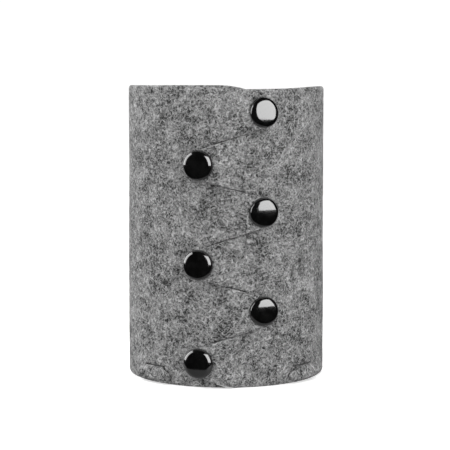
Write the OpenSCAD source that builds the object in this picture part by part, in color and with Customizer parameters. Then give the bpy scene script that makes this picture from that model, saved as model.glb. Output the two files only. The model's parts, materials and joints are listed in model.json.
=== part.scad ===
// Soft glasses case: one felt sheet wrapped into a standing tube, its two ends cut
// into tongues that cross over each other at the front and close with six snaps.
// A separate felt base is held in the wall by four T-shaped tabs.
// Origin: on the floor, on the tube's axis. +Z is up and the seam faces -Y.

/* [Felt] */
// Outside diameter of the tube
case_d = 100; // [98:1:104]
// Height of the tube
case_h = 148; // [146:1:152]
// Thickness of the felt
felt_t = 3; // [2.8:0.1:3.2]
// Gap between two layers of felt that lie on each other
layer_gap = 0.3; // [0.25:0.05:0.4]

/* [Tongues] */
// Angle from the middle of the seam to the line where a tongue is rooted
root_angle = 8; // [7:0.5:9]
// Angle from the middle of the seam to a column of snaps
snap_angle = 17.4; // [17:0.2:18.4]
// Diameter of a tongue's rounded tip
tip_d = 14.2; // [13.6:0.2:14.6]
// Gap cut between the edges of two neighbouring tongues
cut_gap = 0.3; // [0.2:0.05:0.4]
// Distance from the rim down to the first left snap
first_snap = 13.2; // [12.6:0.2:14]
// Drop from a left snap to the next right snap
snap_stagger = 25.5; // [24.5:0.5:26.5]
// Drop from one snap to the next in the same column
snap_pitch = 48.4; // [47.6:0.2:49]
// How far before the seam the first tongue's edge starts to curve down from the rim
rim_start = 6; // [5:0.5:6.5]
// How far before the seam the last tongue's edge leaves the floor
floor_start = 2; // [1:0.5:3]
// Length at a tongue's root over which its edges are straight, so that it folds past its neighbours
straight_root = 3.5; // [3.5:0.5:5]

/* [Snaps] */
// Diameter of a cap
cap_d = 14.6; // [14:0.1:15]
// Height of a cap's dome
cap_h = 3.3; // [3:0.1:3.6]
// Diameter of the socket under a cap
socket_d = 11; // [10.6:0.1:11.2]
// Diameter of the stud's knob
knob_d = 3.8; // [3.6:0.1:3.9]
// Play between the knob and the socket round it
knob_play = 0.5; // [0.45:0.05:0.6]

/* [Base] */
// Thickness of the base's felt
base_t = 2.4; // [2.2:0.1:2.8]
// Height of the base's upper face above the floor
base_top = 8.3; // [8:0.1:9]
// Angle from the seam to the front tabs, and from the back to the rear ones
tab_angle = 47.7; // [47:0.1:49]
// Width of a tab's neck where it passes through the wall
neck_w = 12.4; // [12:0.1:13]
// Width of a tab's head outside the wall
head_w = 23; // [22:0.5:24]
// Height of a tab's lower edge above the floor
head_z = 2; // [1.6:0.1:2.4]

/* [Motion] */
// How far the tongues are shown folded open
open_angle = 0; // [0:5:110]

/* [Hidden] */
SIDES = ["left", "right"];
LEVELS = ["top", "middle", "bottom"];
PIECES = ["tongue", "cap", "post", "socket", "spring", "stud", "eyelet"];

$fn = 96;
over = 1;            // how far a cutter runs past what it cuts
small_gap = 0.1;     // play round a piece that sits still in another
chamfer = 0.2;       // broken edge on the turned metal pieces

// Felt layers, as radii from the tube's axis
wall_out = case_d / 2;
wall_in = wall_out - felt_t;
lap_in = wall_out + layer_gap;
lap_out = lap_in + felt_t;
tip_r = tip_d / 2;
column_x = lap_in * sin(snap_angle);    // a snap column's distance from the seam
root_x = 2 * wall_out * sin(root_angle); // well past the root line
straight_x = wall_out * sin(root_angle) - straight_root; // where the straight root ends
tip_angle = snap_angle + 12;            // past the end of the tip
plan_step = 2;                          // degrees between two points of a tongue's plan
root_gap_angle = 0.25;                  // slit between the wall's end and a tongue's root
arc_step = 10;                          // degrees between two points of a rounded corner
curve_steps = 12;                       // points along the first tongue's curved edge
curve_end = 60;                         // where on the tip's circle that edge ends, in degrees

// Snap levels, measured outwards from the tube's axis along the snap's own axis
eyelet_in = wall_in - 1.1;
eyelet_t = 0.7;
stud_in = wall_out - 0.7;
stud_t = 0.65;
neck_top = wall_out + 0.55;
knob_low = wall_out + 0.8;
knob_high = wall_out + 1.1;
knob_top = wall_out + 1.45;
barrel_top = wall_out + 0.9;
socket_in = lap_in + 0.1;
flange_top = socket_in + 0.6;
groove_low = socket_in + 0.4;
groove_top = groove_low + 0.6;
web_in = socket_in + 1.4;
socket_out = web_in + 0.45;
cap_in = lap_out - 0.3;
plate_in = cap_in + 0.1;
plate_t = 0.5;
flare_t = 0.25;

// Snap radii
eyelet_r = 4.75;
barrel_r = 1.15;
barrel_wall = 0.4;
stud_r = 5.2;
neck_r = 1.55;
knob_r = knob_d / 2;
knob_crown_r = 1.3;
socket_r = socket_d / 2;
cup_r = 4.3;
mouth_r = knob_r + knob_play;
groove_r = mouth_r + 0.85;
wire_r = 0.25;
spring_gap = 40;     // degrees left open in the spring ring
post_r = 1.4;
post_wall = 0.4;
flare_r = 2.1;
cap_r = cap_d / 2;
cap_wall = 0.6;
cap_shoulder = 0.72; // power of the dome's curve: 1 is an ellipse, less is squarer
cap_step = 7.5;      // degrees between two points of the dome's curve

// Base
base_play = 1.4;     // clear of the lowest eyelet
head_out = lap_in + base_t;
base_r = wall_in - base_play;
base_in_wall = 3;    // how far a neck starts inside the disc's edge
head_corner_r = 2;
shoulder_drop = 1.7; // how far a head's shoulders slope down from the neck
head_sector = 16;    // half-angle of the sector that a tab's head is cut from

felt_color = [0.46, 0.46, 0.47];
cap_color = [0.02, 0.02, 0.022];
metal_color = [0.25, 0.25, 0.27];

// +1 for a left tongue, which points to +X, and -1 for a right one.
function tip_sign(side) = side == "left" ? 1 : -1;

// A tongue's place among the six, counted down from the rim.
function place(side, level) = 2 * search([level], LEVELS)[0] + (side == "left" ? 0 : 1);

// Height of the snap of the tongue at this place.
function snap_z(n) = case_h - first_snap - floor(n / 2) * snap_pitch - (n % 2) * snap_stagger;

// Height, at the middle of the seam, of the cut above the tongue at this place.
function cut_z(n) = (snap_z(n - 1) + snap_z(n)) / 2;

// Slant of a line from a point this far off a circle's centre that just touches the circle.
function tangent_slant(across, rise, radius) = atan2(rise, across) - asin(radius / norm([across, rise]));

// Slant of the cut above the tongue at this place: it touches the tips on both sides.
function cut_slant(n) =
    tangent_slant(column_x, (snap_z(n - 1) - snap_z(n)) / 2, tip_r + cut_gap / 2);

// Height of a tongue's upper (+1) or lower (-1) edge, at a distance from the seam.
function edge_z(cut, x, side) =
    cut_z(cut) - side * (tan(cut_slant(cut)) * x + cut_gap / 2 / cos(cut_slant(cut)));

// How far the felt has climbed at this angle, from the wall (0) to the lap (1).
function climb(angle) =
    let (t = min(1, max(0, (angle + root_angle) / (2 * root_angle))))
    t * t * (3 - 2 * t);

// A point in a tongue's plan, at this depth in the felt.
function plan_point(angle, depth) =
    (wall_in + depth + climb(angle) * (felt_t + layer_gap)) * [sin(angle), -cos(angle)];

// Points of an arc from one angle down to another.
function arc(center, radius, from, to) =
    [for (a = concat([for (b = [from : -arc_step : to + arc_step / 2]) b], [to]))
        center + radius * [cos(a), sin(a)]];

// A tongue's outline seen from the front, with its tip at +X.
function tongue_outline(n) =
    let (
        snap = [column_x, snap_z(n)],
        first = n == 0,
        last = n == len(SIDES) * len(LEVELS) - 1,
        upper_from = first ? curve_end : 90 - cut_slant(n),
        lower_slant = last ? tangent_slant(column_x + floor_start, snap_z(n), tip_r) : cut_slant(n + 1),
        upper_root = first ? concat([[-root_x, case_h]], rim_curve(snap)) : root_end(n, 1),
        lower_root = last ? [[-floor_start, 0], [-root_x, 0]] : reversed(root_end(n + 1, -1))
    )
    concat(upper_root, arc(snap, tip_r, upper_from, lower_slant - 90), lower_root);

// The straight end of a tongue's upper (+1) or lower (-1) edge, at its root.
function root_end(cut, side) =
    let (z = edge_z(cut, -straight_x, side))
    [[-root_x, z], [-straight_x, z]];

function reversed(points) = [for (i = [len(points) - 1 : -1 : 0]) points[i]];

// The first tongue's upper edge: a curve from the rim that runs into the tip's circle.
function rim_curve(snap) =
    let (
        end = snap + tip_r * [cos(curve_end), sin(curve_end)],
        start = [-rim_start, case_h],
        bend = [end[0] - (case_h - end[1]) * tan(curve_end), case_h]
    )
    [for (i = [0 : curve_steps - 1])
        let (t = i / curve_steps)
        (1 - t) * (1 - t) * start + 2 * t * (1 - t) * bend + t * t * end];

// A tongue's plan: its outer face from the root line to past the tip, and its inner face back.
function tongue_plan() =
    let (steps = ceil((tip_angle + root_angle) / plan_step))
    concat(
        [for (i = [0 : steps]) plan_point(i * plan_step - root_angle, felt_t)],
        [for (i = [steps : -1 : 0]) plan_point(i * plan_step - root_angle, 0)]
    );

// A cap's outer curve, from its rim to its crown.
function dome(radius, height, from = 0, to = 90) =
    [for (a = [from : (to > from ? 1 : -1) * cap_step : to])
        [radius * pow(cos(a), cap_shoulder), height * pow(sin(a), cap_shoulder)]];

// Turns a child drawn along +Z so that it stands on a snap's axis, Z being the distance from the tube's axis.
module on_snap(side, level) {
    rotate([0, 0, tip_sign(side) * snap_angle])
        translate([0, 0, snap_z(place(side, level))])
            rotate([90, 0, 0])
                children();
}

// Folds a tongue and what it carries out about its root line.
module folded(side) {
    hinge = wall_out * [-tip_sign(side) * sin(root_angle), -cos(root_angle), 0];
    translate(hinge)
        rotate([0, 0, -tip_sign(side) * open_angle])
            translate(-hinge)
                children();
}

// A straight disc or hole between two levels of a snap.
module level_disc(radius, low, high) {
    translate([0, 0, low])
        cylinder(r = radius, h = high - low);
}

// A sector of the tube between two radii, centred on the seam's direction.
module ring_sector(inner, outer, height, half_angle) {
    rotate([0, 0, -90 - half_angle])
        rotate_extrude(angle = 2 * half_angle)
            translate([inner, 0])
                square([outer - inner, height]);
}

// A slot through the wall for the neck of a tab.
module neck_slot(angle) {
    rotate([0, 0, angle])
        translate([-neck_w / 2 - small_gap, -lap_out, base_top - base_t - small_gap])
            cube([neck_w + 2 * small_gap, lap_out - wall_in + felt_t, base_t + 2 * small_gap]);
}

module wall() {
    color(felt_color)
        difference() {
            rotate([0, 0, 180])
                ring_sector(wall_in, wall_out, case_h, 180 - root_angle - root_gap_angle);
            for (side = SIDES, level = LEVELS) {
                on_snap(side, level)
                    level_disc(barrel_r + small_gap, wall_in - over, wall_out);
                on_snap(side, level)
                    level_disc(stud_r + small_gap, stud_in - small_gap / 2, wall_out + over);
            }
            for (angle = [tab_angle, 180 - tab_angle, 180 + tab_angle, -tab_angle])
                neck_slot(angle);
        }
}

// The outline of a tab's head: sloping shoulders, and rounded corners below.
function head_outline() =
    let (
        corner_x = head_w / 2 - head_corner_r,
        corner_z = head_z + head_corner_r,
        shoulder_z = base_top - shoulder_drop
    )
    concat(
        [[-head_w / 2, shoulder_z], [-neck_w / 2, base_top], [neck_w / 2, base_top], [head_w / 2, shoulder_z]],
        arc([corner_x, corner_z], head_corner_r, 0, -90),
        arc([-corner_x, corner_z], head_corner_r, -90, -180)
    );

// One T-shaped tab: a neck through the wall and a head that hangs outside it.
module tab() {
    neck_start = base_r - base_in_wall;
    translate([-neck_w / 2, -lap_in - base_t / 2, base_top - base_t])
        cube([neck_w, lap_in + base_t / 2 - neck_start, base_t]);
    intersection() {
        ring_sector(lap_in, head_out, base_top, head_sector);
        rotate([90, 0, 0])
            linear_extrude(height = lap_out)
                polygon(head_outline());
    }
}

module base() {
    color(felt_color) {
        translate([0, 0, base_top - base_t])
            cylinder(r = base_r, h = base_t);
        for (angle = [tab_angle, 180 - tab_angle, 180 + tab_angle, -tab_angle])
            rotate([0, 0, angle])
                tab();
    }
}

module tongue(side, level) {
    color(felt_color)
        folded(side)
            difference() {
                mirror_to_side(side)
                    intersection() {
                        linear_extrude(height = case_h)
                            polygon(tongue_plan());
                        rotate([90, 0, 0])
                            linear_extrude(height = lap_out + over)
                                polygon(tongue_outline(place(side, level)));
                    }
                on_snap(side, level)
                    level_disc(post_r + small_gap, wall_in, lap_out + over);
                on_snap(side, level)
                    level_disc(socket_r + small_gap, wall_in, flange_top + small_gap);
                on_snap(side, level)
                    level_disc(cup_r + small_gap, wall_in, socket_out + small_gap);
                on_snap(side, level)
                    level_disc(cap_r + small_gap, cap_in - small_gap / 2, lap_out + over);
            }
}

// Mirrors a left tongue's shape for the right side.
module mirror_to_side(side) {
    if (side == "left")
        children();
    else
        mirror([1, 0, 0])
            children();
}

module cap(side, level) {
    color(cap_color)
        folded(side)
            on_snap(side, level)
                translate([0, 0, cap_in])
                    rotate_extrude()
                        polygon(concat(
                            dome(cap_r, cap_h),
                            dome(cap_r - cap_wall, cap_h - cap_wall, 90, 0)
                        ));
}

module post(side, level) {
    color(metal_color)
        folded(side)
            on_snap(side, level)
                difference() {
                    union() {
                        level_disc(cap_r - cap_wall - small_gap, plate_in, plate_in + plate_t);
                        level_disc(post_r, web_in - flare_t, plate_in + plate_t);
                        level_disc(flare_r, web_in - flare_t, web_in);
                    }
                    level_disc(post_r - post_wall, web_in - flare_t - over, plate_in);
                }
}

module socket(side, level) {
    color(metal_color)
        folded(side)
            on_snap(side, level)
                rotate_extrude()
                    polygon([
                        [mouth_r, socket_in], [socket_r - chamfer, socket_in],
                        [socket_r, socket_in + chamfer], [socket_r, flange_top],
                        [cup_r, flange_top], [cup_r, socket_out - chamfer],
                        [cup_r - chamfer, socket_out], [post_r + small_gap, socket_out],
                        [post_r + small_gap, web_in], [mouth_r, web_in],
                        [mouth_r, groove_top], [groove_r, groove_top],
                        [groove_r, groove_low], [mouth_r, groove_low]
                    ]);
}

module spring(side, level) {
    color(metal_color)
        folded(side)
            on_snap(side, level)
                translate([0, 0, (groove_low + groove_top) / 2])
                    rotate([0, 0, 90 + spring_gap / 2])
                        rotate_extrude(angle = 360 - spring_gap)
                            translate([mouth_r + wire_r, 0])
                                circle(r = wire_r, $fn = 24);
}

module stud(side, level) {
    color(metal_color)
        on_snap(side, level)
            rotate_extrude()
                polygon([
                    [barrel_r + small_gap / 2, stud_in], [stud_r, stud_in],
                    [stud_r, stud_in + stud_t - chamfer], [stud_r - chamfer, stud_in + stud_t],
                    [neck_r, stud_in + stud_t], [neck_r, neck_top],
                    [knob_r, knob_low], [knob_r, knob_high],
                    [knob_crown_r, knob_top], [0, knob_top],
                    [0, knob_high], [barrel_r + small_gap / 2, knob_high]
                ]);
}

module eyelet(side, level) {
    color(metal_color)
        on_snap(side, level)
            rotate_extrude()
                polygon([
                    [barrel_r - barrel_wall, eyelet_in], [eyelet_r - eyelet_t / 2, eyelet_in],
                    [eyelet_r, eyelet_in + eyelet_t / 2], [eyelet_r, eyelet_in + eyelet_t],
                    [barrel_r, eyelet_in + eyelet_t], [barrel_r, barrel_top],
                    [barrel_r - barrel_wall, barrel_top]
                ]);
}

wall();
base();
for (side = SIDES, level = LEVELS) {
    name = str(side, "_", level, "_");
    tongue(side, level);
    cap(side, level);
    post(side, level);
    socket(side, level);
    spring(side, level);
    stud(side, level);
    eyelet(side, level);
}
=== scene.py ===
"""Soft glasses case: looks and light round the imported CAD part.

One felt sheet is wrapped into a standing tube. Its two ends are cut into six tongues that
cross over each other at the front, and each tongue closes with a black domed snap. A felt
base is held by four T-shaped tabs that hang outside the wall.

Lengths here are in millimetres and become metres when a mesh is made. Felt is drawn flat
first: "along" runs round the tube at its outer face, from the seam at the front towards
+X, "up" is the height, and "deep" is the place in the felt's thickness.
"""

import json
import math

import bmesh
import bpy
import numpy as np
from mathutils import Matrix, Vector, noise
from mathutils.geometry import delaunay_2d_cdt


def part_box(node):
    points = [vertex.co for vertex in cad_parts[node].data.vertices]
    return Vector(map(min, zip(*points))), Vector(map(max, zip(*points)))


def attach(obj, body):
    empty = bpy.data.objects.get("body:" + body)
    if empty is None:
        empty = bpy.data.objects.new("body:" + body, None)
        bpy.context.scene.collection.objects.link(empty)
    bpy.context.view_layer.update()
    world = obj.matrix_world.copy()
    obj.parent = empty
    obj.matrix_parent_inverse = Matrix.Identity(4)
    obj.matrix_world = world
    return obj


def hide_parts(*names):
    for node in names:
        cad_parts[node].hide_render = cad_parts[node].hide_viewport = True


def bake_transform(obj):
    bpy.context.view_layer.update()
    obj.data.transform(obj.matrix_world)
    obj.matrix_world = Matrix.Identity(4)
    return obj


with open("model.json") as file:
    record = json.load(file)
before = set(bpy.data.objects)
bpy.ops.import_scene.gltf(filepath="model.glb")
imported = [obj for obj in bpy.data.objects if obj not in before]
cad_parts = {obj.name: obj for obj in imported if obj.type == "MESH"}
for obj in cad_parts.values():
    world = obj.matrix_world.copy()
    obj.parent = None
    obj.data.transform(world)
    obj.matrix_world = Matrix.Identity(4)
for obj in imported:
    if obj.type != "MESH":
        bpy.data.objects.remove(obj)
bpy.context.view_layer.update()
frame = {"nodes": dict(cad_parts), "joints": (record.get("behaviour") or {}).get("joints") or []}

MM = 0.001
SIDES = ("left", "right")
LEVELS = ("top", "middle", "bottom")

# ---------------------------------------------------------------- sizes from the frame

_, wall_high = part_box("wall")
_, base_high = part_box("base")
WALL_R = wall_high.x / MM
HEIGHT = wall_high.z / MM
BASE_TOP = base_high.z / MM
FELT_T = 3.0
LAYER_GAP = 0.3
LAP = FELT_T + LAYER_GAP            # how much further out the upper layer lies
WALL_MID = WALL_R - FELT_T / 2
ROOT_SLIT = 0.25                    # degrees between the root line and the wall's end
TIP_R = 7.0                         # of a tongue's round tip
CUT_GAP = 0.06                      # between the edges on the two sides of a cut
CAP_R = 7.5
# How far each cap leans up and away from the seam, in degrees, as the felt under it does.
CAP_LEAN = {
    ("left", "top"): (8.5, 3.5),
    ("left", "middle"): (-1.5, 0.5),
    ("left", "bottom"): (-2.0, 0.5),
    ("right", "top"): (-0.5, 0.5),
    ("right", "middle"): (0.5, 0.0),
    ("right", "bottom"): (0.0, 0.0),
}


def hinge(side, level):
    """The root line's (x, y, z) in millimetres."""
    return [c / MM for j in frame["joints"] if j["name"] == f"{side}_{level}_fold" for c in j["pos_m"]]


def node_angle(name):
    """Degrees from the seam to the middle of a CAD node, + towards +X."""
    points = np.array([v.co for v in frame["nodes"][name].data.vertices])
    x, y, _ = points.mean(axis=0)
    return math.degrees(math.atan2(x, -y))


ROOT_ANGLE = math.degrees(math.atan2(-hinge("left", "top")[0], -hinge("left", "top")[1]))
SNAP_ANGLE = node_angle("left_middle_cap")
SNAP_Z = {(side, level): hinge(side, level)[2] for side in SIDES for level in LEVELS}
ORDER = sorted(SNAP_Z, key=lambda key: -SNAP_Z[key])    # the tongues from the rim down


def tip_sign(side):
    """+1 where a tongue's tip points towards +X, and -1 where it points the other way."""
    return 1 if side == "left" else -1


def arc_mm(degrees):
    """Length round the tube's outer face."""
    return math.radians(degrees) * WALL_R


SNAP_ALONG = arc_mm(SNAP_ANGLE)
ROOT_ALONG = arc_mm(ROOT_ANGLE)
END_ALONG = arc_mm(ROOT_ANGLE + ROOT_SLIT)
ROUND = arc_mm(360)


def smooth(value, start, end):
    """0 up to start, 1 from end on, and an easy curve between."""
    t = np.clip((value - start) / (end - start), 0, 1)
    return t * t * (3 - 2 * t)


# ---------------------------------------------------------------- flat outlines

RIM_START = 6.0        # how far before the seam the first tongue's edge leaves the rim
FLOOR_START = 2.0      # how far before the seam the last tongue's edge leaves the floor
CURVE_END = 60         # degrees round the tip's circle where the first tongue's curved edge ends
CURVE_STEPS = 12
CURVE_FIRST = 0.92     # share of that edge still to come at its first point after the tip's arc
SEAM_DROP = 2.0        # how much lower than its highest point the rim is at the seam
SEAM_RISE = (15, 85)   # degrees from the seam between which the rim rises again
BACK_DROP = 2.2        # the same at the back
BACK_FALL, BACK_RISE = (40, 170), (190, 270)


def tangent_slant(across, rise, radius):
    """Slope angle of the line that passes below a circle this far across and up, touching it."""
    return math.atan2(rise, across) - math.asin(radius / math.hypot(across, rise))


def cut(place):
    """(height at the seam, slope) of the cut above the tongue at this place from the rim."""
    above, below = SNAP_Z[ORDER[place - 1]], SNAP_Z[ORDER[place]]
    slant = tangent_slant(SNAP_ALONG, (above - below) / 2, TIP_R + CUT_GAP / 2)
    return (above + below) / 2, math.tan(slant)


def edge_z(place, along, upper):
    """Height of the edge under (or over) the cut above this place, at a distance from the seam."""
    middle, slope = cut(place)
    gap = CUT_GAP / 2 * math.hypot(1, slope)
    return middle - slope * along - gap if upper else middle + slope * along + gap


def circle_points(center, radius, start, end, step=8):
    """Points on an arc about step degrees apart."""
    count = max(2, int(abs(end - start) / step))
    return [
        (center[0] + radius * math.cos(a), center[1] + radius * math.sin(a))
        for a in np.radians(np.linspace(start, end, count + 1))
    ]


def curved_edge(end):
    """The first tongue's upper edge, from the arc's end to the rim: a curve that leaves both smoothly."""
    bend = (end[0] - (HEIGHT - end[1]) * math.tan(math.radians(CURVE_END)), HEIGHT)
    rim = (-RIM_START, HEIGHT)
    return [
        tuple((1 - t) ** 2 * a + 2 * t * (1 - t) * b + t * t * c for a, b, c in zip(rim, bend, end))
        for t in np.linspace(CURVE_FIRST, 0, CURVE_STEPS)
    ]


def tongue_outline(place):
    """Flat outline of a tongue, its tip at +along, from its lower root corner round to its upper one."""
    tip = (SNAP_ALONG, SNAP_Z[ORDER[place]])
    if place == len(ORDER) - 1:
        lower_slant = tangent_slant(SNAP_ALONG + FLOOR_START, tip[1], TIP_R)
        points = [(-END_ALONG, 0), (-FLOOR_START, 0)]
    else:
        lower_slant = math.atan(cut(place + 1)[1])
        points = [(-END_ALONG, edge_z(place + 1, -END_ALONG, False))]
    if place == 0:
        points += circle_points(tip, TIP_R, math.degrees(lower_slant) - 90, CURVE_END)
        points += curved_edge(points[-1])
        points.append((-END_ALONG, HEIGHT))
    else:
        upper_slant = math.atan(cut(place)[1])
        points += circle_points(tip, TIP_R, math.degrees(lower_slant) - 90, 90 - math.degrees(upper_slant))
        points.append((-END_ALONG, edge_z(place, -END_ALONG, True)))
    return points


def rim_drop(along):
    """How much lower than its highest point the wall's rim is: the sheet is not cut quite square."""
    degrees = np.degrees(np.asarray(along) / WALL_R)
    at_seam = SEAM_DROP * (1 - smooth(degrees, *SEAM_RISE))
    behind = BACK_DROP * smooth(degrees, *BACK_FALL) * (1 - smooth(degrees, *BACK_RISE))
    return at_seam + behind


def root_span(side, level):
    """Lowest and highest point of a tongue's root."""
    outline = tongue_outline(ORDER.index((side, level)))
    return outline[0][1], outline[-1][1]


# ---------------------------------------------------------------- felt as a mesh

RIM_ROUND = 1.9        # how far in from an outer edge the felt has its full thickness
CUT_ROUND = 0.45       # the same for a knife-cut edge
EDGE_ROUND = {"rim": RIM_ROUND, "cut": CUT_ROUND, "joint": 0}
EDGE_POWER = 2.1       # 2 gives a round edge, and more a squarer one
RING_SHARES = (0.03, 0.12, 0.28, 0.55, 1.0)     # rows of points over a rounded edge
RING_CLEAR = 0.96      # a row's point is left out where another edge is nearer than this share
CLOSED = 0.02          # share of the full thickness below which the two faces meet
MERGE = 0.004          # points of a joint nearer to each other than this become one
POINTS_AT_ONCE = 1500  # keeps distance_to within a small memory


def dense(points, step):
    """The same broken line with points no further apart than step."""
    out = [points[0]]
    for a, b in zip(points, points[1:]):
        count = max(1, math.ceil(math.dist(a, b) / step))
        out += [tuple(np.array(a) + (np.array(b) - np.array(a)) * i / count) for i in range(1, count + 1)]
    return out


def distance_to(points, starts, ends):
    """Distance from each point to the nearest of some segments, and the index of that segment."""
    best, which = [], []
    span = ends - starts
    length2 = np.maximum((span**2).sum(axis=1), 1e-12)
    for part in np.array_split(points, max(1, len(points) // POINTS_AT_ONCE)):
        offset = part[:, None, :] - starts[None]
        t = np.clip((offset * span[None]).sum(axis=2) / length2, 0, 1)
        d = np.linalg.norm(offset - t[..., None] * span[None], axis=2)
        best.append(d.min(axis=1))
        which.append(d.argmin(axis=1))
    return np.concatenate(best), np.concatenate(which)


def dense_joint(points, step):
    """A joint's line, with extra points near its ends, where the felt's edge is rounded."""
    a, b = (np.array(p, float) for p in points)
    length = math.dist(a, b)
    near = [share * CUT_ROUND for share in RING_SHARES] + [share * RIM_ROUND for share in RING_SHARES[2:]]
    places = [0, length, *near, *(length - x for x in near)]
    places += list(np.arange(1, length / step) * step)
    kept = []
    for x in sorted(places):
        if not kept or x - kept[-1] > MERGE:
            kept.append(x)
    kept[-1] = length
    return [tuple(a + (b - a) * x / length) for x in kept]


class Flat:
    """A flat piece of felt: closed loops of (kind, points) runs. kind is rim, cut or joint."""

    def __init__(self, loops, step):
        self.step = step
        self.loops = []
        starts, ends, reach = [], [], []
        for loop in loops:
            points, kinds = [], []
            for kind, run in loop:
                run = dense_joint(run, step) if kind == "joint" else dense(run, step)
                points += run[:-1]
                kinds += [kind] * (len(run) - 1)
            self.loops.append((points, kinds))
            for i, kind in enumerate(kinds):
                if kind != "joint":
                    starts.append(points[i])
                    ends.append(points[(i + 1) % len(points)])
                    reach.append(EDGE_ROUND[kind])
        self.starts, self.ends = np.array(starts, float), np.array(ends, float)
        self.reach = np.array(reach)

    def fullness(self, points):
        """Share of the felt's half thickness at each point, from 0 at a free edge to 1."""
        full = np.ones(len(points))
        for reach in (RIM_ROUND, CUT_ROUND):
            chosen = self.reach == reach
            if chosen.any():
                d, _ = distance_to(points, self.starts[chosen], self.ends[chosen])
                q = np.clip(d / reach, 0, 1)
                full = np.minimum(full, (1 - (1 - q) ** EDGE_POWER) ** (1 / EDGE_POWER))
        return full

    def triangles(self):
        """Points and triangles that fill the outline, with rows of points along its free edges."""
        points, edges = [], []
        for loop, _ in self.loops:
            first = len(points)
            points += loop
            edges += [(first + i, first + (i + 1) % len(loop)) for i in range(len(loop))]
        for loop, kinds in self.loops:
            loop = np.array(loop)
            along = np.roll(loop, -1, axis=0) - np.roll(loop, 1, axis=0)
            normal = np.stack([-along[:, 1], along[:, 0]], axis=1)
            normal /= np.linalg.norm(normal, axis=1)[:, None]
            for i, kind in enumerate(kinds):
                if "joint" in (kind, kinds[i - 1]):
                    continue
                depths = [share * EDGE_ROUND[kind] for share in RING_SHARES]
                ring = [loop[i] + normal[i] * depth for depth in depths]
                d, _ = distance_to(np.array(ring), self.starts, self.ends)
                points += [tuple(p) for p, x, depth in zip(ring, d, depths) if x > RING_CLEAR * depth]
        points += [tuple(p) for p in self.lattice()]
        out = delaunay_2d_cdt([Vector(p) for p in points], edges, [], 1, 1e-6)
        flat = np.array([tuple(v) for v in out[0]])
        faces = np.array(out[2])
        faces = faces[self.inside(flat[faces].mean(axis=1))]
        return flat, faces

    def lattice(self):
        """Evenly spaced points inside the outline, clear of its rounded edges."""
        low = np.min([np.min(loop, axis=0) for loop, _ in self.loops], axis=0)
        high = np.max([np.max(loop, axis=0) for loop, _ in self.loops], axis=0)
        row_height = self.step * math.sqrt(3) / 2
        lattice = []
        for row in range(int((high[1] - low[1]) / row_height) + 1):
            y = low[1] + (row + 0.5) * row_height
            shift = self.step / 2 * (row % 2)
            xs = np.arange(low[0] + shift, high[0], self.step)
            lattice.append(np.stack([xs, np.full(len(xs), y)], axis=1))
        lattice = np.concatenate(lattice)
        every = np.concatenate([loop for loop, _ in self.loops])
        after = np.concatenate([np.roll(loop, -1, axis=0) for loop, _ in self.loops])
        reach = np.array([EDGE_ROUND[kind] for _, kinds in self.loops for kind in kinds])
        d, which = distance_to(lattice, every, after)
        return lattice[(d > reach[which] + 0.5 * self.step) & self.inside(lattice)]

    def inside(self, points):
        """Even-odd test against all the loops."""
        hit = np.zeros(len(points), bool)
        for loop, _ in self.loops:
            a = np.array(loop)
            b = np.roll(a, -1, axis=0)
            for (ax, ay), (bx, by) in zip(a, b):
                crosses = (ay > points[:, 1]) != (by > points[:, 1])
                if ay != by:
                    hit ^= crosses & (points[:, 0] < (bx - ax) * (points[:, 1] - ay) / (by - ay) + ax)
        return hit

    def on_joint(self, point):
        """Whether a point of the outline lies on a joint's line."""
        for loop, kinds in self.loops:
            for i, kind in enumerate(kinds):
                if kind == "joint":
                    a, b = loop[i], loop[(i + 1) % len(loop)]
                    if abs(math.dist(a, point) + math.dist(point, b) - math.dist(a, b)) < 1e-4:
                        return True
        return False

    def area(self):
        """Area inside the outline, less that of the slots, which run the other way round."""
        total = 0
        for loop, _ in self.loops:
            x, y = np.array(loop).T
            total += 0.5 * np.sum(x * np.roll(y, -1) - np.roll(x, -1) * y)
        return total


def felt_piece(name, flat, to_space, offset=(0, 0)):
    """A closed felt mesh from a flat outline.

    to_space(points, share) places points of the sheet, share being +1 on the outer face and -1 on
    the inner one. offset is where the piece lies in the felt's pattern.
    """
    points, faces = flat.triangles()
    full = flat.fullness(points)
    count = len(points)
    directed = {(int(f[i]), int(f[(i + 1) % 3])) for f in faces for i in range(3)}
    border = [e for e in directed if (e[1], e[0]) not in directed]
    joint = [e for e in border if flat.on_joint(points[list(e)].mean(axis=0))]
    co = np.concatenate([to_space(points, full), to_space(points, -full)]) * MM
    shared = set(np.flatnonzero(full < CLOSED))
    index = {i: (i if i in shared else count + i) for i in range(count)}
    polygons = [tuple(f) for f in faces] + [tuple(index[i] for i in reversed(f)) for f in faces]
    closings = []
    for a, b in joint:
        quad = [b, a, index[a], index[b]]
        quad = [v for i, v in enumerate(quad) if v not in quad[:i]]
        if len(quad) > 2:
            closings.append(tuple(quad))
    mesh = bpy.data.meshes.new(name)
    mesh.from_pydata([tuple(c) for c in co], [], [tuple(int(i) for i in p) for p in polygons + closings])
    rest = np.zeros((2 * count, 3), np.float32)
    rest[:, :2] = np.concatenate([points, points]) + np.array(offset)
    rest[:count, 2] = full * FELT_T / 2
    rest[count:, 2] = -full * FELT_T / 2
    attribute = mesh.attributes.new("rest", "FLOAT_VECTOR", "POINT")
    attribute.data.foreach_set("vector", rest.ravel())
    mesh.shade_smooth()
    bm = bmesh.new()
    bm.from_mesh(mesh)
    bmesh.ops.delete(bm, geom=[v for v in bm.verts if not v.link_faces], context="VERTS")
    bm.faces.ensure_lookup_table()
    for face in bm.faces[len(polygons):]:
        for edge in face.edges:
            edge.smooth = False
    bm.to_mesh(mesh)
    bm.free()
    piece = bpy.data.objects.new(name, mesh)
    bpy.context.scene.collection.objects.link(piece)
    return piece


# ---------------------------------------------------------------- the tube's shape

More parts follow.
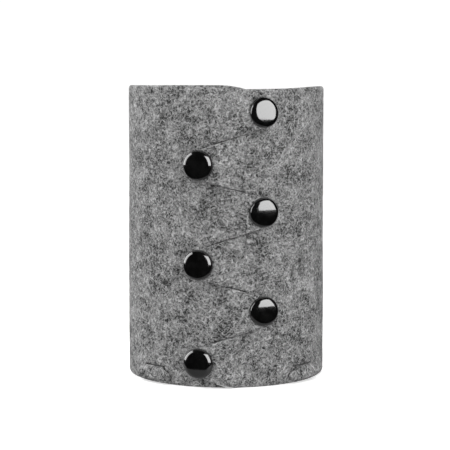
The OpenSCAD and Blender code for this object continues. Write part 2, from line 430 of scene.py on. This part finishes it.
FLARE = 0.53                        # how much wider the tube's radius is at the floor than at the rim
FINE_SIZE, FINE_H = 3.2, 0.07       # size and height of the felt's lumps
FINER_SIZE, FINER_H = 1.7, 0.04
WAVE_LONG, WAVE_TALL, WAVE_H = 34, 42, 0.28
UPPER_STRETCH = 1.04                # lengths on the upper layer against "along"
LEAN_FADE = (7, 13)                 # distances from a snap between which its felt stops leaning

# (depth, where it starts to fade, where it ends), measured from the snap's middle.
STUD_DENT = (0.4, 5.1, 6.6)
EYELET_SWELL = (0.5, 4.6, 7)
CAP_DENT = (0.36, 6.9, 8.6)
SOCKET_DENT = (0.75, 5.6, 7.2)


def relief(rest):
    """Uneven thickness and gentle waves of pressed felt, outwards in millimetres."""
    out = np.empty(len(rest))
    for i, place in enumerate(rest):
        x, y, z = place
        fine = noise.noise(Vector(place / FINE_SIZE))
        finer = noise.noise(Vector((x / FINER_SIZE, y / FINER_SIZE, 5 + z / FINER_SIZE)))
        wave = noise.noise(Vector((x / WAVE_LONG, y / WAVE_TALL, 7.7)))
        out[i] = FINE_H * fine + FINER_H * finer + WAVE_H * wave
    return out


def climb(along):
    """How far a tongue has climbed from the wall's layer to the upper one, its tip being at +along."""
    return smooth(along, -ROOT_ALONG, ROOT_ALONG)


def dent(distance, shape):
    """Depth of a round dent at a distance from its middle."""
    depth, start, end = shape
    return depth * (1 - smooth(distance, start, end))


def on_tube(along, up, radius):
    """Points in space, a radius being the tube's at the rim."""
    angle = along / WALL_R
    radius = radius + FLARE * (1 - up / HEIGHT)
    return np.stack([radius * np.sin(angle), -radius * np.cos(angle), up], axis=1)


def rest_of(points, share):
    """(along, up, deep) of points of the sheet."""
    return np.column_stack([points, share * FELT_T / 2])


def wall_space(points, share):
    """Places the wall's points, its rim lowered and pressed in round the snaps."""
    along, up = points.T
    placed_up = up * (1 - rim_drop(along) / HEIGHT)
    radius = WALL_MID + share * FELT_T / 2
    shape = STUD_DENT if share.max() > 0 else EYELET_SWELL
    for (side, _), z in SNAP_Z.items():
        center = SNAP_ALONG if side == "left" else ROUND - SNAP_ALONG
        radius = radius - dent(np.hypot(along - center, up - z), shape) * np.abs(share)
    return on_tube(along, placed_up, radius + relief(rest_of(points, share)))


def tongue_space(side, level):
    """The function that places a tongue's points, climbing over the wall and pressed at its snap."""
    z_snap = SNAP_Z[side, level]
    lean, turn = (math.tan(math.radians(a)) for a in CAP_LEAN[side, level])

    def to_space(points, share):
        along, up = points.T
        own = along - ROUND if side == "left" else -along
        radius = WALL_MID + share * FELT_T / 2 + LAP * climb(own)
        beyond, above = own - SNAP_ALONG, up - z_snap
        distance = np.hypot(beyond * UPPER_STRETCH, above)
        if share.max() > 0:
            radius = radius - dent(distance, CAP_DENT)
        else:
            radius = radius + dent(distance, SOCKET_DENT)
        radius = radius - (above * lean + beyond * turn) * (1 - smooth(distance, *LEAN_FADE))
        return on_tube(along, up, radius + relief(rest_of(points, share)))

    return to_space


# ---------------------------------------------------------------- the wall and the tongues, flat

STEP_SHEET = 1.5       # between the wall's points, and the base's
STEP_TONGUE = 0.8
TOE = END_ALONG - FLOOR_START - 0.3      # the wall's corner under the last tongue, clear of its edge
TOE_SLOPE = tangent_slant(SNAP_ALONG + FLOOR_START, SNAP_Z[ORDER[-1]], TIP_R)
BASE_T = 2.4           # thickness of the base's felt
NECK_W = 12.4          # width of a base tab where it passes through the wall
SLOT_PLAY = 0.45       # between a tab and its slot
TAB_ANGLE = 47.7
TAB_ANGLES = (TAB_ANGLE, 180 - TAB_ANGLE, 180 + TAB_ANGLE, 360 - TAB_ANGLE)
SAME_HEIGHT = 0.01     # heights nearer than this leave no edge between them


def end_runs(x, start, joints, end):
    """One end of the wall: joints where its tongues grow, each (first, last) height, and cuts between."""
    runs, z = [], start
    for first, last in joints:
        if abs(first - z) > SAME_HEIGHT:
            runs.append(("cut", [(x, z), (x, first)]))
        runs.append(("joint", [(x, first), (x, last)]))
        z = last
    if abs(end - z) > SAME_HEIGHT:
        runs.append(("cut", [(x, z), (x, end)]))
    return runs


def slot_run(angle):
    """The slot in the wall for the base tab at this angle."""
    x, half = arc_mm(angle), NECK_W / 2 + SLOT_PLAY
    low, high = BASE_TOP - BASE_T - SLOT_PLAY, BASE_TOP + SLOT_PLAY
    return ("cut", [(x - half, low), (x - half, high), (x + half, high), (x + half, low), (x - half, low)])


def wall_flat():
    """The tube's wall laid out flat, from its right end round the back to its left one."""
    right, left = END_ALONG, ROUND - END_ALONG
    toe_height = TOE * TOE_SLOPE
    upwards = [root_span("left", level) for level in reversed(LEVELS)]
    downwards = [root_span("right", level)[::-1] for level in LEVELS]
    runs = [
        ("rim", [(right, 0), (left + TOE, 0)]),
        ("cut", [(left + TOE, 0), (left, toe_height)]),
        *end_runs(left, toe_height, upwards, HEIGHT),
        ("rim", [(left, HEIGHT), (right, HEIGHT)]),
        *end_runs(right, HEIGHT, downwards, 0),
    ]
    return Flat([runs] + [[slot_run(angle)] for angle in TAB_ANGLES], STEP_SHEET)


def edge_kind(a, b):
    """rim for an edge that lies along the rim or the floor, and cut for any other."""
    level_edge = abs(a[1] - b[1]) < 1e-9
    return "rim" if level_edge and not 1 < a[1] < HEIGHT - 1 else "cut"


def tongue_flat(side, level):
    """A tongue laid out flat, where it would lie on the wall's own sheet."""
    outline = tongue_outline(ORDER.index((side, level)))
    if side == "right":
        outline = [(-x, z) for x, z in reversed(outline)]
    else:
        outline = [(x + ROUND, z) for x, z in outline]
    runs = [(edge_kind(a, b), [a, b]) for a, b in zip(outline, outline[1:])]
    runs.append(("joint", [outline[-1], outline[0]]))
    return Flat([runs], STEP_TONGUE)


# ---------------------------------------------------------------- the base with its tabs

DISC_R = 46.95
DISC_STEPS = 24        # along the disc's edge between two tabs
BEND_START = 50.1      # where a tab starts to bend down, from the tube's axis
BEND_R = 1.4           # of the felt's middle layer
NECK_END = BEND_START + 0.3
TAB_SHOULDER = BEND_START + 1.75    # where the slanting shoulder ends
TAB_SOFT = 0.8                      # how much of its corner is cut off
TAB_SIDE = BEND_START + 2.5         # where the head's straight side starts
HEAD_W = 23.0
HEAD_LOW = 2.0         # a hanging tab's lower edge, above the floor
HEAD_CORNER = 2.2
HEAD_R = BEND_START + BEND_R
BEND_LENGTH = BEND_R * math.pi / 2
BASE_MID = BASE_TOP - BASE_T / 2
HEAD_END = BEND_START + BEND_LENGTH + (BASE_MID - BEND_R - HEAD_LOW)
TAB_EASE = 3.5         # how far inside the disc's edge a tab begins to follow the tube's curve
BASE_RELIEF = 0.7      # the base's unevenness against the wall's
BASE_REST = 500        # where the base lies in the felt's pattern, away from the wall


def tab_outline():
    """Right half of a tab's flat outline as (across, out), from the disc to its end."""
    half, wide = NECK_W / 2, HEAD_W / 2
    points = [
        (half, math.sqrt(DISC_R**2 - half**2)),
        (half, NECK_END),
        (wide - TAB_SOFT, TAB_SHOULDER),
        (wide, TAB_SIDE),
    ]
    return points + circle_points((wide - HEAD_CORNER, HEAD_END - HEAD_CORNER), HEAD_CORNER, 0, 90, 15)


def tab_frame(angle):
    """Unit vectors across a tab and out along it, seen from above."""
    out = np.array([math.sin(math.radians(angle)), -math.cos(math.radians(angle))])
    return np.array([-out[1], out[0]]), out


def base_flat():
    """The base laid out flat and seen from above: a disc with four tabs."""
    points = []
    right = tab_outline()
    profile = right + [(-a, b) for a, b in reversed(right)]
    edge_angle = math.degrees(math.asin(NECK_W / 2 / DISC_R))
    for angle, following in zip(TAB_ANGLES, (*TAB_ANGLES[1:], TAB_ANGLES[0] + 360)):
        across, out = tab_frame(angle)
        # from the -across side to the +across side, which keeps the loop anticlockwise
        points += [tuple(-a * across + b * out) for a, b in profile]
        for step in np.linspace(angle + edge_angle, following - edge_angle, DISC_STEPS)[1:-1]:
            points.append(tuple(DISC_R * tab_frame(step)[1]))
    return Flat([[("cut", points + [points[0]])]], STEP_SHEET)


def base_space(points, share):
    """Places the base's points, each tab bent down outside the wall."""
    offset = share * BASE_T / 2
    uneven = relief(np.column_stack([points + BASE_REST, offset])) * BASE_RELIEF
    thick = offset + uneven * np.abs(share)
    placed = np.column_stack([points, BASE_MID + thick])
    for angle in TAB_ANGLES:
        across, out = tab_frame(angle)
        a, b = points @ across, points @ out
        chosen = (np.abs(a) < HEAD_W) & (b > DISC_R - TAB_EASE)
        a, b, layer = a[chosen], b[chosen], thick[chosen]
        turn = np.clip((b - BEND_START) / BEND_R, 0, math.pi / 2)
        down = np.maximum(b - BEND_START - BEND_LENGTH, 0)
        distance = np.minimum(b, BEND_START) + (BEND_R + layer) * np.sin(turn)
        z = BASE_MID - BEND_R + (BEND_R + layer) * np.cos(turn) - down
        # the tab's head curves round the tube and flares with it
        follow = smooth(b, DISC_R - TAB_EASE, BEND_START)
        distance = distance + FLARE * (1 - z / HEIGHT) * follow
        radial = distance * (1 - follow + follow * np.cos(a / HEAD_R))
        lateral = a * (1 - follow) + follow * distance * np.sin(a / HEAD_R)
        placed[chosen, :2] = radial[:, None] * out + lateral[:, None] * across
        placed[chosen, 2] = z
    return placed


# ---------------------------------------------------------------- caps

CAP_LOW = WALL_R + LAP - 0.35       # the caps press a little way into the felt
CAP_TOP = 3.3
CROWN_R = 24.0                      # curvature of the cap's wide, rather flat top
CROWN_STEPS = 12
SHOULDER = 3.0                      # radius of the tight bend from the top to the side
SHOULDER_STEPS = 18
RIM_H = 0.32                        # height of the rolled rim under the shoulder
RIM_ROLL = ((0, 0.2), (0.06, 0.1), (0.25, 0.0), (0.6, 0.05), (0.7, 0.3))    # (inset, height) round it
CAP_SEGMENTS = 96


def cap_profile():
    """(radius, height) points from the crown out, over the shoulder and round the rolled rim."""
    points = []
    lean = math.asin((CAP_R - SHOULDER) / (CROWN_R - SHOULDER))
    for a in np.linspace(0, lean, CROWN_STEPS):
        points.append((CROWN_R * math.sin(a), CAP_TOP - CROWN_R * (1 - math.cos(a))))
    center = (CAP_R - SHOULDER, CAP_TOP - CROWN_R + (CROWN_R - SHOULDER) * math.cos(lean))
    last = math.acos((RIM_H - center[1]) / SHOULDER)
    for a in np.linspace(lean, last, SHOULDER_STEPS)[1:]:
        points.append((center[0] + SHOULDER * math.sin(a), center[1] + SHOULDER * math.cos(a)))
    return points + [(CAP_R - inset, height) for inset, height in RIM_ROLL]


def cap_mesh(name):
    """The profile turned about +Z, closed at the crown and underneath."""
    profile = cap_profile()
    verts, faces = [(0.0, 0.0, profile[0][1])], []
    for radius, height in profile[1:]:
        for k in range(CAP_SEGMENTS):
            a = 2 * math.pi * k / CAP_SEGMENTS
            verts.append((radius * math.cos(a), radius * math.sin(a), height))
    rings = len(profile) - 1
    for k in range(CAP_SEGMENTS):
        after = (k + 1) % CAP_SEGMENTS
        faces.append((0, 1 + k, 1 + after))
        for ring in range(rings - 1):
            a, b = 1 + ring * CAP_SEGMENTS, 1 + (ring + 1) * CAP_SEGMENTS
            faces.append((a + k, b + k, b + after, a + after))
    last = 1 + (rings - 1) * CAP_SEGMENTS
    faces.append(tuple(last + k for k in reversed(range(CAP_SEGMENTS))))
    mesh = bpy.data.meshes.new(name)
    mesh.from_pydata([tuple(c * MM for c in v) for v in verts], [], faces)
    mesh.shade_smooth()
    return mesh


def make_cap(side, level):
    """A domed cap in its place on a tongue's tip."""
    name = f"{side}_{level}_domed_cap"
    mesh = cap_mesh(name)
    z = SNAP_Z[side, level]
    angle = math.radians(tip_sign(side) * SNAP_ANGLE)
    up, aside = (math.radians(a) for a in CAP_LEAN[side, level])
    radius = (CAP_LOW + FLARE * (1 - z / HEIGHT)) * MM
    place = (
        Matrix.Translation((0, 0, z * MM))
        @ Matrix.Rotation(angle, 4, "Z")
        @ Matrix.Translation((0, -radius, 0))
        @ Matrix.Rotation(tip_sign(side) * aside, 4, "Z")
        @ Matrix.Rotation(math.pi / 2 - up, 4, "X")
    )
    mesh.transform(place)
    cap = bpy.data.objects.new(name, mesh)
    bpy.context.scene.collection.objects.link(cap)
    return cap


# ---------------------------------------------------------------- materials

# Felt: tones are linear greys and sizes are millimetres.
BLOTCH_SIZE = 9.0
BLOTCH_TONES = (0.27, 0.73, 0.034, 0.207)       # noise from and to, tone from and to
LIGHT_FIBRES = ((1.2, 0.1, 0.075), (2.2, 0.075, 0.11), (3.4, 0.05, 0.12))   # size, width, how much lighter
DARK_FIBRES = (1.8, 0.11, 0.1)                  # size, width, how much darker
DARKEST_FELT = 0.02
CURL_SIZE, CURL = 2.6, 2.2


def new_material(name):
    """A material with only a Principled shader, with its nodes, links and shader."""
    material = bpy.data.materials.new(name)
    material.use_nodes = True
    nodes = material.node_tree.nodes
    nodes.clear()
    output = nodes.new("ShaderNodeOutputMaterial")
    shader = nodes.new("ShaderNodeBsdfPrincipled")
    material.node_tree.links.new(shader.outputs["BSDF"], output.inputs["Surface"])
    return material, nodes, material.node_tree.links, shader


def math_node(nodes, links, operation, *values):
    node = nodes.new("ShaderNodeMath")
    node.operation = operation
    for socket, value in zip(node.inputs, values):
        if isinstance(value, (int, float)):
            socket.default_value = value
        else:
            links.new(value, socket)
    return node.outputs[0]


def noise_node(nodes, links, vector, size, detail, roughness):
    """Noise whose largest features are about this many millimetres across."""
    node = nodes.new("ShaderNodeTexNoise")
    node.inputs["Scale"].default_value = 1 / size
    node.inputs["Detail"].default_value = detail
    node.inputs["Roughness"].default_value = roughness
    links.new(vector, node.inputs["Vector"])
    return node.outputs["Fac"]


def ramp(nodes, links, fac, stops):
    """Eases a value from one range, the first two stops, to another, the last two."""
    node = nodes.new("ShaderNodeMapRange")
    node.interpolation_type = "SMOOTHSTEP"
    for name, value in zip(("From Min", "From Max", "To Min", "To Max"), stops):
        node.inputs[name].default_value = value
    links.new(fac, node.inputs["Value"])
    return node.outputs["Result"]


def grey(nodes, links, tone):
    """A colour with this tone in all its channels."""
    color = nodes.new("ShaderNodeCombineColor")
    for name in ("Red", "Green", "Blue"):
        links.new(tone, color.inputs[name])
    return color.outputs[0]


def set_bump(nodes, links, shader, height, strength, distance):
    bump = nodes.new("ShaderNodeBump")
    bump.inputs["Strength"].default_value = strength
    bump.inputs["Distance"].default_value = distance
    links.new(height, bump.inputs["Height"])
    links.new(bump.outputs[0], shader.inputs["Normal"])


def warped(nodes, links, vector, size, amount):
    """The vector pushed about by noise, so that straight grain becomes curly."""
    push = nodes.new("ShaderNodeTexNoise")
    push.inputs["Scale"].default_value = 1 / size
    push.inputs["Detail"].default_value = 2
    links.new(vector, push.inputs["Vector"])
    center = nodes.new("ShaderNodeVectorMath")
    center.operation = "SUBTRACT"
    center.inputs[1].default_value = (0.5, 0.5, 0.5)
    links.new(push.outputs["Color"], center.inputs[0])
    scale = nodes.new("ShaderNodeVectorMath")
    scale.operation = "SCALE"
    scale.inputs["Scale"].default_value = amount
    links.new(center.outputs[0], scale.inputs[0])
    add = nodes.new("ShaderNodeVectorMath")
    add.operation = "ADD"
    links.new(vector, add.inputs[0])
    links.new(scale.outputs[0], add.inputs[1])
    return add.outputs[0]


def filaments(nodes, links, vector, size, width, seed):
    """Thin curly lines, 1 on a fibre and 0 between fibres."""
    shift = nodes.new("ShaderNodeVectorMath")
    shift.operation = "ADD"
    shift.inputs[1].default_value = (seed * 31.7, seed * 17.3, seed * 7.9)
    links.new(vector, shift.inputs[0])
    value = noise_node(nodes, links, shift.outputs[0], size, 1.0, 0.5)
    away = math_node(nodes, links, "ABSOLUTE", math_node(nodes, links, "SUBTRACT", value, 0.5))
    return ramp(nodes, links, away, (0, width, 1, 0))


def felt_material():
    """Melange felt: dark and light patches, crossed by light and dark curly fibres."""
    material, nodes, links, shader = new_material("grey_melange_felt")
    rest = nodes.new("ShaderNodeAttribute")
    rest.attribute_name = "rest"
    vector = rest.outputs["Vector"]
    curly = warped(nodes, links, vector, CURL_SIZE, CURL)
    blotch = noise_node(nodes, links, vector, BLOTCH_SIZE, 6.0, 0.72)
    tone = ramp(nodes, links, blotch, BLOTCH_TONES)
    light = None
    for number, (size, width, amount) in enumerate(LIGHT_FIBRES, start=1):
        line = filaments(nodes, links, curly, size, width, number)
        part = math_node(nodes, links, "MULTIPLY", line, amount)
        light = part if light is None else math_node(nodes, links, "ADD", light, part)
    size, width, amount = DARK_FIBRES
    line = filaments(nodes, links, curly, size, width, 5)
    dark = math_node(nodes, links, "MULTIPLY", line, amount)
    tone = math_node(nodes, links, "SUBTRACT", math_node(nodes, links, "ADD", tone, light), dark)
    tone = math_node(nodes, links, "MAXIMUM", tone, DARKEST_FELT)
    links.new(grey(nodes, links, tone), shader.inputs["Base Color"])
    lumps = noise_node(nodes, links, curly, 1.1, 3.0, 0.6)
    height = math_node(nodes, links, "ADD", lumps, light)
    set_bump(nodes, links, shader, height, 0.5, 0.19 * MM)
    shader.inputs["Roughness"].default_value = 0.95
    shader.inputs["Specular IOR Level"].default_value = 0.15
    shader.inputs["Sheen Weight"].default_value = 0.08
    shader.inputs["Sheen Roughness"].default_value = 0.5
    return material


def object_vector(nodes, links):
    """Place in the object's own mesh, in millimetres."""
    coordinates = nodes.new("ShaderNodeTexCoord")
    scale = nodes.new("ShaderNodeVectorMath")
    scale.operation = "SCALE"
    scale.inputs["Scale"].default_value = 1 / MM
    links.new(coordinates.outputs["Object"], scale.inputs[0])
    return scale.outputs[0]


def cap_material():
    """Gloss black enamel with faint wear and ripples."""
    material, nodes, links, shader = new_material("gloss_black_enamel")
    vector = object_vector(nodes, links)
    wear = noise_node(nodes, links, vector, 5.0, 4.0, 0.6)
    links.new(ramp(nodes, links, wear, (0.35, 0.7, 0.1, 0.17)), shader.inputs["Roughness"])
    tone = ramp(nodes, links, wear, (0.3, 0.7, 0.002, 0.005))
    links.new(grey(nodes, links, tone), shader.inputs["Base Color"])
    ripple = noise_node(nodes, links, vector, 0.8, 2.0, 0.5)
    set_bump(nodes, links, shader, ripple, 0.12, 0.1 * MM)
    shader.inputs["Specular IOR Level"].default_value = 1.0
    shader.inputs["Coat Weight"].default_value = 1.0
    shader.inputs["Coat Roughness"].default_value = 0.04
    return material


def metal_material():
    """Dark metal of the snaps' hidden pieces, a little uneven in tone and gloss."""
    material, nodes, links, shader = new_material("dark_brushed_metal")
    grain = noise_node(nodes, links, object_vector(nodes, links), 0.6, 4.0, 0.6)
    links.new(ramp(nodes, links, grain, (0.3, 0.7, 0.25, 0.45)), shader.inputs["Roughness"])
    tone = ramp(nodes, links, grain, (0.3, 0.7, 0.1, 0.16))
    links.new(grey(nodes, links, tone), shader.inputs["Base Color"])
    shader.inputs["Metallic"].default_value = 1.0
    return material


# ---------------------------------------------------------------- build

FOLD_LENGTH = 4.6      # how far along a tongue from its root line the end point in build_tongue lies
METAL_PIECES = ("post", "socket", "spring", "stud", "eyelet")

felt = felt_material()
enamel = cap_material()
metal = metal_material()


def finish_felt(piece, flat):
    """Give a felt piece its material."""
    piece.data.materials.append(felt)
    points = np.concatenate([np.array(loop) for loop, _ in flat.loops])
    float(flat.area()) * MM * MM


def build_wall():
    flat = wall_flat()
    wall = felt_piece("felt_wall", flat, wall_space)
    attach(wall, "case")
    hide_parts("wall")
    finish_felt(wall, flat)


def build_base():
    flat = base_flat()
    base = felt_piece("felt_base", flat, base_space, offset=(BASE_REST, BASE_REST))
    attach(base, "case")
    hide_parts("base")
    finish_felt(base, flat)


def build_tongue(side, level):
    flat = tongue_flat(side, level)
    body = f"{side}_{level}_tongue"
    tongue = felt_piece(f"{side}_{level}_felt_tongue", flat, tongue_space(side, level))
    root = np.array(hinge(side, level)) * MM
    angle = math.radians(-tip_sign(side) * ROOT_ANGLE)
    ahead = tip_sign(side) * np.array([math.cos(angle), math.sin(angle), 0]) * MM
    start, end = root - (END_ALONG - ROOT_ALONG) * ahead, root + FOLD_LENGTH * ahead
    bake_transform(tongue)
    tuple(start)
    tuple(end)
    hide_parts(body)
    finish_felt(tongue, flat)


def build_cap(side, level):
    cap = make_cap(side, level)
    cap.data.materials.append(enamel)
    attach(cap, f"{side}_{level}_tongue")
    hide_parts(f"{side}_{level}_cap")


build_wall()
build_base()
for side, level in ORDER:
    build_tongue(side, level)
    build_cap(side, level)

for name, node in frame["nodes"].items():
    if name.split("_")[-1] in METAL_PIECES:
        for material_slot in node.material_slots:
            material_slot.material = metal

# ---------------------------------------------------------------- camera, light and stage

CAMERA_DISTANCE = 7.598 * 2 * WALL_R * MM
CAMERA_HEIGHT = 1.0014 * HEIGHT * MM
CAMERA_TURN = -2.7     # degrees from the seam towards +X
CAMERA_AIM = 0.043     # degrees that the camera looks to the left of the tube's axis
CAMERA_PITCH = 5.46    # degrees that it looks down
LENS = 117.5
SENSOR = 36

WORLD_TONE = 0.5       # what the surroundings shed on the case
WORLD_WHITE = 1.05     # what the camera sees of them
FLOOR_REACH = 1.2      # half the floor's side, in metres
NEAR_RADIUS = 0.08     # of the patch of floor that the caps mirror, in metres
NEAR_SEGMENTS = 64
WHITE = (1, 1, 1, 1)


def add_camera():
    data = bpy.data.cameras.new("camera")
    data.lens = LENS
    data.sensor_width = SENSOR
    camera = bpy.data.objects.new("camera", data)
    turn = math.radians(CAMERA_TURN)
    camera.location = (CAMERA_DISTANCE * math.sin(turn), -CAMERA_DISTANCE * math.cos(turn), CAMERA_HEIGHT)
    camera.rotation_euler = (math.radians(90 - CAMERA_PITCH), 0, math.radians(CAMERA_TURN + CAMERA_AIM))
    bpy.context.scene.collection.objects.link(camera)
    bpy.context.scene.camera = camera


def softbox(name, turn, lift, distance, size, radiance, glossy=True, diffuse=True):
    """A rectangular light round the case: turn from the seam towards +X, lift above the floor.

    glossy and diffuse say whether it shows in glossy surfaces and lights matt ones.
    """
    width, height = size
    data = bpy.data.lights.new(name, "AREA")
    data.shape = "RECTANGLE"
    data.size, data.size_y = width, height
    data.energy = radiance * math.pi * width * height
    light = bpy.data.objects.new(name, data)
    turn, lift = math.radians(turn), math.radians(lift)
    away = Vector((math.sin(turn) * math.cos(lift), -math.cos(turn) * math.cos(lift), math.sin(lift)))
    light.location = Vector((0, 0, HEIGHT / 2 * MM)) + away * distance
    light.rotation_euler = (-away).to_track_quat("-Z", "Y").to_euler()
    light.visible_glossy = glossy
    light.visible_diffuse = diffuse
    bpy.context.scene.collection.objects.link(light)


def add_world():
    """Even light from all round, which the camera sees as white and glossy surfaces don't show."""
    world = bpy.data.worlds.new("studio")
    bpy.context.scene.world = world
    world.use_nodes = True
    nodes, links = world.node_tree.nodes, world.node_tree.links
    nodes.clear()
    output = nodes.new("ShaderNodeOutputWorld")
    around = nodes.new("ShaderNodeBackground")
    around.inputs["Color"].default_value = (WORLD_TONE, WORLD_TONE, WORLD_TONE, 1)
    seen = nodes.new("ShaderNodeBackground")
    seen.inputs["Color"].default_value = (WORLD_WHITE, WORLD_WHITE, WORLD_WHITE, 1)
    path = nodes.new("ShaderNodeLightPath")
    mix = nodes.new("ShaderNodeMixShader")
    links.new(path.outputs["Is Camera Ray"], mix.inputs[0])
    links.new(around.outputs[0], mix.inputs[1])
    links.new(seen.outputs[0], mix.inputs[2])
    links.new(mix.outputs[0], output.inputs["Surface"])
    world.cycles_visibility.glossy = False


def stage_sheet(name, corners, tone, roughness, emission):
    """A flat, pale part of the stage, lying on z = 0."""
    mesh = bpy.data.meshes.new(name)
    mesh.from_pydata([(x, y, 0) for x, y in corners], [], [tuple(range(len(corners)))])
    sheet = bpy.data.objects.new(name, mesh)
    bpy.context.scene.collection.objects.link(sheet)
    material, _, _, shader = new_material(f"pale_{name}")
    shader.inputs["Base Color"].default_value = (tone, tone, tone, 1)
    shader.inputs["Roughness"].default_value = roughness
    shader.inputs["Emission Color"].default_value = WHITE
    shader.inputs["Emission Strength"].default_value = emission
    mesh.materials.append(material)
    sheet.visible_diffuse = False
    return sheet


def add_floor():
    reach = FLOOR_REACH
    corners = [(-reach, -reach), (reach, -reach), (reach, reach), (-reach, reach)]
    floor = stage_sheet("floor", corners, tone=0.9, roughness=0.9, emission=0.35)
    floor.visible_glossy = False
    # the pale surface close to the case, which shows in the lower edges of the glossy caps
    turns = np.arange(NEAR_SEGMENTS) * 2 * math.pi / NEAR_SEGMENTS
    corners = [(NEAR_RADIUS * math.cos(a), NEAR_RADIUS * math.sin(a)) for a in turns]
    near = stage_sheet("floor_near", corners, tone=0, roughness=0.5, emission=0.22)
    near.visible_camera = False
    near.visible_shadow = False


add_camera()
softbox("key", 45, 25, 1.6, (1.55, 1.55), 4.9, diffuse=False)
softbox("soft_key", 45, 15, 1.6, (1.55, 1.55), 3.3, glossy=False)
softbox("left", -110, 25, 1.6, (1.9, 1.5), 3.1)
softbox("fill", -48, 12, 1.8, (1.4, 1.6), 2.4, glossy=False)
softbox("top", 0, 82, 1.8, (0.8, 0.8), 5.0, glossy=False)
softbox("back", 170, 45, 1.8, (1.6, 1.6), 2.5, glossy=False)
add_world()
add_floor()
bpy.context.scene.view_settings.view_transform = "Standard"
